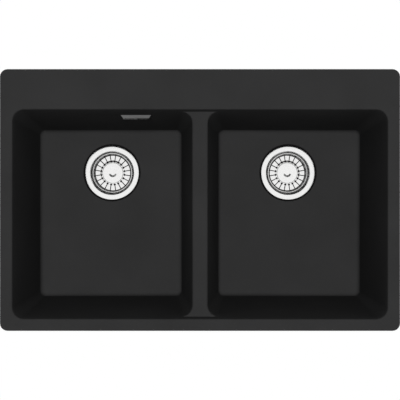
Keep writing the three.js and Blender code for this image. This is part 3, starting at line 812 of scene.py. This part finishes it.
@dataclass
class Strainer:
    """One bowl's basket strainer, from its flange down to its outlet."""

    side: str
    x: float
    forms: dict[str, bpy.types.Mesh]
    y: float = 58.8
    recess_floor: float = -195.5
    seal_height: float = 1.2
    bead: float = 2.0
    flange_radius: float = 58.3
    throat: float = 44.6
    step: float = 41.9
    step_z: float = -206.0
    seat_z: float = -222.5
    sheet: float = 1.0
    windows: int = 4
    slots: int = 20
    rim: float = 43.1
    depth: float = 10.5
    hub: float = 23.0
    hub_top: float = -215.3
    bolt_hole: float = 3.3
    waste_top: float = -208.2
    funnel_z: float = -253.0
    neck_z: float = -254.0
    bore: float = 19.5
    neck: float = 29.0
    outlet_z: float = -286.0
    spigot_z: float = -232.0
    # Rings of painted shade, [radius, half width] in millimetres: a dark line in the throat, dark
    # bands at the basket's wall and rim.
    throat_painted_shade: tuple[float, float] = (44.2, 0.9)
    basket_painted_shade_rings: tuple[tuple[float, float], ...] = ((38.4, 1.2), (40.9, 0.6))
    basket_rough: float = 0.24

    def __post_init__(self) -> None:
        """Make the finishes that turn about this strainer's axis."""
        centre = (self.x * MM, self.y * MM, 0.0)
        self.place = Matrix.Translation(centre)
        name = self.name("turned_steel")
        self.polished = TurnedSteel(name, centre, (self.throat_painted_shade,)).make()
        name = self.name("satin_steel")
        self.satin = TurnedSteel(name, centre, self.basket_painted_shade_rings, rough=self.basket_rough).make()

    def name(self, part: str) -> str:
        """Return a part's name with the bowl's side before it."""
        return f"{self.side}_{part}"

    def form(self, part: str, make: Callable[[], Piece]) -> Piece:
        """Make a part once, and copy it for the other bowl.

        Args:
            part: the part's name without a side.
            make: the method that builds it.

        Returns:
            The part, about the world's Z axis, with its own mesh.
        """
        if part not in self.forms:
            piece = make()
            self.forms[part] = piece.data.copy()
            return piece
        piece = bpy.data.objects.new(part, self.forms[part].copy())
        bpy.context.collection.objects.link(piece)
        return piece

    def flange(self) -> Piece:
        """Spin the pressed flange and cup, and pierce the cup's bottom.

        Returns:
            The flange.
        """
        under = self.recess_floor + self.seal_height
        top = under + self.bead
        outer, throat, step, hole = self.flange_radius, self.throat, self.step, 3.4
        shelf, seat, sheet = self.step_z, self.seat_z, self.sheet
        profile = [
            (outer, under), (outer - 0.3, top - 0.6), (55.5, top - 0.1), (51.0, top),
            (48.0, top - 0.3), (45.6, top - 1.6), (throat - sheet, top - 5.5),
            (throat - sheet, shelf), (step, shelf), (step - 0.6, seat + 5.0), (step - 5.0, seat),
            (hole, seat), (hole, seat - sheet), (step - 4.6, seat - sheet), (step, seat + 4.6),
            (step + 0.6, shelf - sheet), (throat, shelf - sheet), (throat, under - 1.5),
            (throat + 1.2, under),
        ]
        cup = turned("cup", profile, 0.5, 128, 4)
        window = arc(28.0, (i * 0.12 - 0.6 for i in range(11)))
        window += arc(12.0, (0.48 - i * 0.16 for i in range(7)))
        for index in range(self.windows):
            cutter = prism("window", window, seat - 5.0, seat + 5.0)
            combine(cup, spun(cutter, (index + 0.5) * FULL_TURN / self.windows), "DIFFERENCE")
        return cup

    def basket(self) -> Piece:
        """Spin the basket and pierce it with keyhole slots.

        Returns:
            The basket.
        """
        seat, rim, hub, crown = self.step_z, self.rim, self.hub, self.hub_top
        trough, sheet, hole = seat - self.depth, self.sheet, self.bolt_hole
        profile = [
            (rim - 1.0, seat), (rim - 0.2, seat + 0.6), (rim, seat + 1.8), (rim - 0.2, seat + 3.0),
            (42.3, seat + 3.25), (41.2, seat + 3.2), (40.7, seat + 1.4), (40.0, trough + 2.5),
            (39.7, trough + 1.2), (39.0, trough + 0.4), (38.0, trough), (27.6, trough),
            (26.2, trough + 0.4), (hub + 1.0, crown - 0.2), (hub - 0.4, crown), (hole, crown),
            (hole, crown - sheet), (hub, crown - sheet), (27.2, trough - sheet),
            (38.4, trough - sheet), (39.8, trough - 0.3), (40.7, trough + 1.4),
            (41.1, trough + 3.0), (41.3, seat),
        ]
        shell = turned("basket", profile, 0.3, 120, 3)
        tip, widest, neck, end = 22.8, 25.1, 27.5, 38.6
        narrow, wide = 0.95, 2.9
        keyhole = [(tip, 0.0), (widest, -wide), (neck, -narrow), (end, -narrow), (end, narrow),
                   (neck, narrow), (widest, wide)]
        cutters = []
        for index in range(self.slots):
            cutter = prism(f"slot_{index}", keyhole, trough - 3.0, trough + 6.0)
            cutters.append(spun(cutter, (index + 0.5) * FULL_TURN / self.slots))
        combine(shell, joined(cutters), "DIFFERENCE")
        return shell

    def cap(self) -> Piece:
        """Spin the disc over the hub, and let its finger lip fade out towards the rear.

        Returns:
            The cap.
        """
        low = self.hub_top
        top = low + 1.8
        edge, lip, crest, dish, rise = 22.6, 8.8, 7.0, 5.0, 2.8
        profile = [(0.0, low), (edge, low), (edge, top - 0.8), (edge - 0.8, top), (lip, top),
                   (lip - 0.5, top + 0.4 * rise), (crest, top + rise),
                   (dish + 0.5, top + 0.3 * rise), (dish, top), (0.0, top)]
        disc = turned("cap", profile, 0.3, 96, 3)
        slack, least = 0.01 * MM, 0.02
        for vertex in disc.data.vertices:
            over = vertex.co.z - top * MM
            if over > slack:
                share = max(least, (-1.0 - vertex.co.y / MM) / (lip - 1.0))
                vertex.co.z = top * MM + over * min(share, 1.0)
        return disc

    def seal(self) -> Piece:
        """Spin the rubber disc with its sealing lip.

        Returns:
            The seal.
        """
        low, top, inner = self.seat_z, self.seat_z + 3.2, 6.0
        profile = [(inner, low + 1.2), (29.6, low + 1.2), (31.0, low), (34.5, low),
                   (36.3, low + 1.6), (35.0, top), (inner, top)]
        return turned("seal", profile, 0.4)

    def waste(self) -> Piece:
        """Spin the waste body's cup and funnel, and give it a boss on a spider.

        Returns:
            The waste body without its overflow spigot.
        """
        top, low, neck, bore = self.waste_top, self.neck_z, self.neck, self.bore
        profile = [(46.5, top), (57.0, top), (57.0, top - 4.0), (50.5, top - 7.0), (49.5, -236.0),
                   (neck, self.funnel_z), (neck, low), (bore, low), (bore, low + 1.5),
                   (45.0, -234.5)]
        body = turned("waste", profile, 0.4, 80, 2)
        hole, collar, pocket, foot, crown = self.bolt_hole, 9.0, -247.0, -252.5, -229.0
        profile = [(hole, pocket), (6.4, pocket), (6.4, foot), (collar, foot), (collar, crown),
                   (hole, crown)]
        boss = turned("boss", profile, 0.3, 32)
        funnel = [(0.0, self.funnel_z), (28.0, self.funnel_z), (47.5, -236.2), (0.0, -236.2)]
        for arm in range(3):
            bar = block("arm", (33.0, 4.0, 13.0), (24.5, 0.0, -242.5), 0.4)
            spun(bar, (arm * 2.0 + 0.5) * math.pi / 3.0)
            combine(bar, turned("bound", funnel, 0.0, 48), "INTERSECT")
            combine(boss, bar, "UNION")
        combine(body, boss, "UNION")
        return body

    def add_spigot(self, body: Piece) -> None:
        """Join the overflow's inlet to the waste body and bore it through.

        Args:
            body: the waste body, changed in place.
        """
        lie_back = Matrix.Rotation(-QUARTER_TURN, 4, "X")
        place = Matrix.Translation((0.0, 0.0, self.spigot_z * MM)) @ lie_back
        for name, radius, near, far, rounding, operation in (
                ("tube", 10.0, 47.5, 80.0, 0.3, "UNION"),
                ("bore", 8.0, 40.5, 81.0, 0.0, "DIFFERENCE")):
            profile = [(0.0, near), (radius, near), (radius, far), (0.0, far)]
            combine(body, moved(turned(name, profile, rounding, 40), place), operation)

    def tail(self) -> Piece:
        """Spin the outlet tail with its collar and its thread.

        Returns:
            The tail.
        """
        root, crest, pitch, threads = 23.1, 23.9, 2.4, 8
        body = root + 0.1
        profile = [(self.bore, self.neck_z), (self.neck, self.neck_z), (self.neck, -261.0),
                   (body, -263.5)]
        for thread in range(threads):
            z = -265.5 - pitch * thread
            profile += [(root, z), (crest, z - 0.8), (root, z - 1.6)]
        profile += [(body, self.outlet_z), (self.bore, self.outlet_z)]
        return turned("tail", profile, 0.2, 80, 2)

    def screw(self) -> Piece:
        """Spin the clamping screw with its threads and cut its slot.

        Returns:
            The screw.
        """
        top, crest, root, pitch, threads = self.seat_z, 2.9, 2.5, 1.1, 20
        crown, slot = top + 0.8, 1.2
        profile = [(0.0, crown), (5.4, crown), (6.0, top + 0.5), (6.6, top), (crest, top)]
        for thread in range(threads):
            z = top - 8.0 - pitch * thread
            profile += [(crest, z), (root, z - pitch / 2.0)]
        profile += [(crest, top - 31.0), (2.4, top - 32.0), (0.0, top - 32.0)]
        screw = turned("screw", profile, 0.0, 32)
        combine(screw, block("slot", (14.0, slot, slot), (0.0, 0.0, crown)), "DIFFERENCE")
        return screw

    def gasket(self, inner: float, outer: float, low: float, high: float) -> Piece:
        """Spin a flat gasket with rounded edges."""
        return turned("gasket", [(inner, low), (outer, low), (outer, high), (inner, high)], 0.35)

    def flange_gasket(self) -> Piece:
        """Spin the gasket between the bowl and the flange."""
        # Its outer edge shows round the flange. It is a real gasket edge, and with its near-black
        # rubber it is also painted shade for the gap there.
        return self.gasket(46.8, 61.5, self.recess_floor, self.recess_floor + self.seal_height)

    def body_gasket(self) -> Piece:
        """Spin the gasket between the bowl and the waste body."""
        return self.gasket(47.0, 56.0, self.waste_top, self.step_z)

    def stem(self) -> Piece:
        """Spin the stem and the collar that carries the seal.

        Returns:
            The stem.
        """
        top, seal, low = self.hub_top, self.seat_z + 3.2, self.seat_z + 1.0
        pin, collar, foot = 3.0, 9.0, 5.7
        profile = [(0.0, top), (pin, top), (pin, top - 1.7), (collar, top - 2.3), (collar, seal),
                   (foot, seal), (foot, low), (0.0, low)]
        return turned("stem", profile, 0.3, 40)

    def build(self, shared: dict[Slot, Material]) -> None:
        """Build, place and dress every part of the strainer.

        Args:
            shared: the materials of the slots that all sub-assemblies use.
        """
        basket, plug = self.name("basket"), self.name("plug")
        own = {**shared, Slot.POLISHED: self.polished, Slot.SATIN: self.satin}
        rows: tuple[tuple[str, Callable[[], Piece], str, Slot], ...] = (
            ("strainer_flange", self.flange, "sink", Slot.POLISHED),
            ("basket", self.basket, basket, Slot.SATIN),
            ("basket_cap", self.cap, basket, Slot.POLISHED),
            ("basket_seal", self.seal, plug, Slot.RUBBER),
            ("basket_stem", self.stem, plug, Slot.PLASTIC),
            ("waste_body", self.waste, "sink", Slot.PLASTIC),
            ("outlet_tail", self.tail, "sink", Slot.PLASTIC),
            ("clamping_screw", self.screw, "sink", Slot.POLISHED),
            ("flange_gasket", self.flange_gasket, "sink", Slot.RUBBER),
            ("body_gasket", self.body_gasket, "sink", Slot.RUBBER),
        )
        for part, make, body, slot in rows:
            piece = self.form(part, make)
            if part == "waste_body" and self.side == "left":
                self.add_spigot(piece)
            moved(piece, self.place)
            piece.name = self.name(f"fine_{part}")
            settle(piece)
            fit_piece(piece, body, own[slot], self.name(part))


def refined(node: str, edge: float, segments: int, turn: float, crease: float = 35.0) -> Piece:
    """Copy a CAD node, round its edges and smooth it.

    Args:
        node: the CAD node's name.
        edge: the radius of the edges in millimetres.
        segments: the number of segments in a rounded edge.
        turn: edges that turn by more than this angle in degrees are rounded.
        crease: faces that then meet under this angle in degrees are smoothed.

    Returns:
        The refined copy.
    """
    piece = cad_copy(node)
    round_edges(piece, edge, segments, turn)
    return settle(piece, crease)


@dataclass
class Overflow:
    """The overflow: cover, screw, gasket, rear elbow, ribbed hose and its two nuts."""

    cover_edge: float = 0.35
    cover_turn: float = 25.0
    turn: float = 31.0
    edges: tuple[tuple[str, Slot, float], ...] = (
        ("overflow_screw", Slot.POLISHED, 0.2),
        ("overflow_gasket", Slot.RUBBER, 0.4),
        ("overflow_elbow", Slot.PLASTIC, 0.6),
        ("upper_hose_nut", Slot.PLASTIC, 0.4),
        ("lower_hose_nut", Slot.PLASTIC, 0.4),
    )

    def build(self, shared: dict[Slot, Material]) -> None:
        """Refine and dress the overflow's parts.

        Args:
            shared: the materials of the slots that all sub-assemblies use.
        """
        cover = refined("overflow_cover", self.cover_edge, 3, self.cover_turn)
        modify(cover, "WEIGHTED_NORMAL", keep_sharp=True, weight=100)
        fit_piece(cover, "sink", shared[Slot.SATIN], "overflow_cover")
        for node, slot, edge in self.edges:
            piece = refined(node, edge, 2, self.turn)
            fit_piece(piece, "sink", shared[slot], node)
        dress(bpy.data.objects["overflow_hose"], shared[Slot.HOSE])


@dataclass
class WorktopClamps:
    """Eight swing clamps under the rim."""

    names: tuple[str, ...] = ("front_left", "front_right", "right_front", "right_rear",
                              "rear_right", "rear_left", "left_rear", "left_front")
    jaw_edge: float = 0.5
    thread_edge: float = 0.15
    turn: float = 50.0

    def build(self, shared: dict[Slot, Material]) -> None:
        """Refine and dress each clamp's jaw, screw and insert.

        Args:
            shared: the materials of the slots that all sub-assemblies use.
        """
        for name in self.names:
            parts = (("jaw", f"{name}_clamp_jaw", Slot.ZINC, self.jaw_edge),
                     ("screw", f"{name}_clamp_screw", Slot.ZINC, self.thread_edge),
                     ("insert", "sink", Slot.BRASS, self.thread_edge))
            for part, body, slot, edge in parts:
                node = f"{name}_{part}"
                piece = refined(node, edge, 2, self.turn, self.turn)
                fit_piece(piece, body, shared[slot], node)


# ------------------------------------------------------------------ studio


@dataclass
class Studio:
    """Pale floor, soft overhead light and the camera straight above the sink."""

    camera_height: float = 1.868
    lens: float = 86.05
    sensor: float = 36.0
    clip_end: float = 50.0
    lamp_place: Triple = (0.0, 0.15, 14.0)
    lamp_target: Triple = (0.0, 0.0, -0.1)
    lamp_size: float = 4.4
    lamp_power: float = 2270.0
    cove: tuple[tuple[str, float], ...] = (("From Min", 0.45), ("From Max", 0.68),
                                           ("To Min", 0.5), ("To Max", 0.02))
    floor_z: float = -0.30
    floor_size: float = 24.0
    floor_low: Triple = (0.84, 0.84, 0.84)
    floor_high: Triple = (0.87, 0.87, 0.87)
    floor_rough: float = 0.9
    white_share: float = 0.98

    def camera(self) -> None:
        """Add the camera, looking straight down with the tap ledge at the top."""
        deselect()
        bpy.ops.object.camera_add(location=(0.0, 0.0, self.camera_height), rotation=(0.0, 0.0, 0.0))
        camera = bpy.context.object
        camera.data.lens = self.lens
        camera.data.sensor_width = self.sensor
        camera.data.clip_end = self.clip_end
        bpy.context.scene.camera = camera

    def lamp(self) -> None:
        """Add the square area lamp high above the sink, out of sight of reflections."""
        bpy.ops.object.light_add(type="AREA", location=self.lamp_place)
        lamp = bpy.context.object
        lamp.name = "key_lamp"
        lamp.data.size = self.lamp_size
        lamp.data.energy = self.lamp_power
        lamp.visible_glossy = False
        aim = Vector(self.lamp_target) - Vector(self.lamp_place)
        lamp.rotation_euler = aim.to_track_quat("-Z", "Y").to_euler()

    def world(self) -> None:
        """Make the world white to the camera and reflections, and a pale cove to other rays.

        The cove's strength falls from the horizon to the zenith by the height of the ray.
        """
        world = bpy.data.worlds.new("studio_world")
        sheet = NodeSheet(world)
        path = sheet.node("ShaderNodeLightPath", {}, {})
        rays = {0: path.outputs["Is Camera Ray"], 1: path.outputs["Is Glossy Ray"]}
        seen = sheet.value("ShaderNodeMath", {"operation": "MAXIMUM"}, rays)
        way = sheet.node("ShaderNodeTexCoord", {}, {}).outputs["Generated"]
        height = sheet.value("ShaderNodeSeparateXYZ", {}, {"Vector": way}, "Z")
        cove = sheet.value("ShaderNodeMapRange", {}, {**dict(self.cove), "Value": height}, "Result")
        ends = {"To Min": cove, "To Max": 1.0, "Value": seen}
        level = sheet.value("ShaderNodeMapRange", {}, ends, "Result")
        sky = sheet.node("ShaderNodeBackground", {}, {"Color": WHITE, "Strength": level})
        sheet.node("ShaderNodeOutputWorld", {}, {"Surface": sky.outputs[0]})
        bpy.context.scene.world = world

    def floor(self) -> None:
        """Add the pale floor, mostly plain white to the camera but with the sink's shadow."""
        place = (0.0, 0.0, self.floor_z)
        bpy.ops.mesh.primitive_plane_add(size=self.floor_size, location=place)
        floor = bpy.context.object
        floor.name = "studio_floor"
        sheet = Finish("studio_floor")
        tone = sheet.colour(sheet.noise(2.0, 2.0), self.floor_low, self.floor_high)
        sheet.set(Base_Color=tone, Roughness=self.floor_rough)
        glow = sheet.node("ShaderNodeEmission", {}, {"Color": WHITE, "Strength": 1.0})
        seen = sheet.value("ShaderNodeLightPath", {}, {}, "Is Camera Ray")
        parts = {0: seen * self.white_share, 1: sheet.shader.outputs["BSDF"], 2: glow.outputs[0]}
        mixed = sheet.node("ShaderNodeMixShader", {}, parts)
        sheet.feed(sheet.output.inputs["Surface"], mixed.outputs[0])
        dress(floor, sheet.material)

    def build(self) -> None:
        """Set the view transform and add the camera, world, floor and lamp."""
        bpy.context.scene.view_settings.view_transform = "Standard"
        self.camera()
        self.world()
        self.floor()
        self.lamp()


# ------------------------------------------------------------------ main


def shared_finishes() -> dict[Slot, Material]:
    """Make one material for each slot that several sub-assemblies use.

    Returns:
        The materials by slot.
    """
    black = Moulded("black_plastic", (0.012, 0.0125, 0.013), (0.03, 0.031, 0.032), rough=0.42)
    # Black rubber, made darker than plain rubber as painted shade where the flange gasket shows in
    # the gap round each flange.
    rubber = Moulded("rubber", (0.002, 0.002, 0.002), (0.006, 0.006, 0.006), rough=0.7,
                     grain_per_metre=600.0, grain_height=0.00008, specular=0.08)
    hose = Moulded("grey_hose", (0.42, 0.42, 0.41), (0.56, 0.56, 0.54), rough=0.4)
    zinc = PlatedMetal("zinc_plate", (0.66, 0.67, 0.68), (0.48, 0.5, 0.52), rough=0.28)
    brass = PlatedMetal("brass", (0.78, 0.6, 0.3), (0.58, 0.42, 0.18), rough=0.25)
    cover = BrushedSteel("dark_steel", (0.17, 0.17, 0.17), (0.08, 0.08, 0.081))
    screw = BrushedSteel("screw_steel", (0.78, 0.78, 0.77), (0.62, 0.62, 0.61))
    return {
        Slot.PLASTIC: black.make(), Slot.RUBBER: rubber.make(), Slot.HOSE: hose.make(),
        Slot.FOAM: CellFoam().make(), Slot.ZINC: zinc.make(), Slot.BRASS: brass.make(),
        Slot.SATIN: cover.make(), Slot.POLISHED: screw.make(),
    }


def dress_nodes(nodes: Iterable[str], material: Material) -> None:
    """Give CAD nodes that stay a material."""
    for node in nodes:
        dress(bpy.data.objects[node], material)


def main() -> None:
    """Build the studio and every sub-assembly in order."""
    logging.basicConfig(level=logging.INFO, format="%(name)s: %(message)s")
    Studio().build()
    shared = shared_finishes()
    Moulding().build()
    forms: dict[str, bpy.types.Mesh] = {}
    for side, x in (("left", -189.8), ("right", 189.8)):
        Strainer(side, x, forms).build(shared)
    Overflow().build(shared)
    WorktopClamps().build(shared)
    dress_nodes(["rim_seal"], shared[Slot.FOAM])
    dress_nodes(["left_clamping_nut", "right_clamping_nut"], shared[Slot.BRASS])


if __name__ == "__main__":
    main()
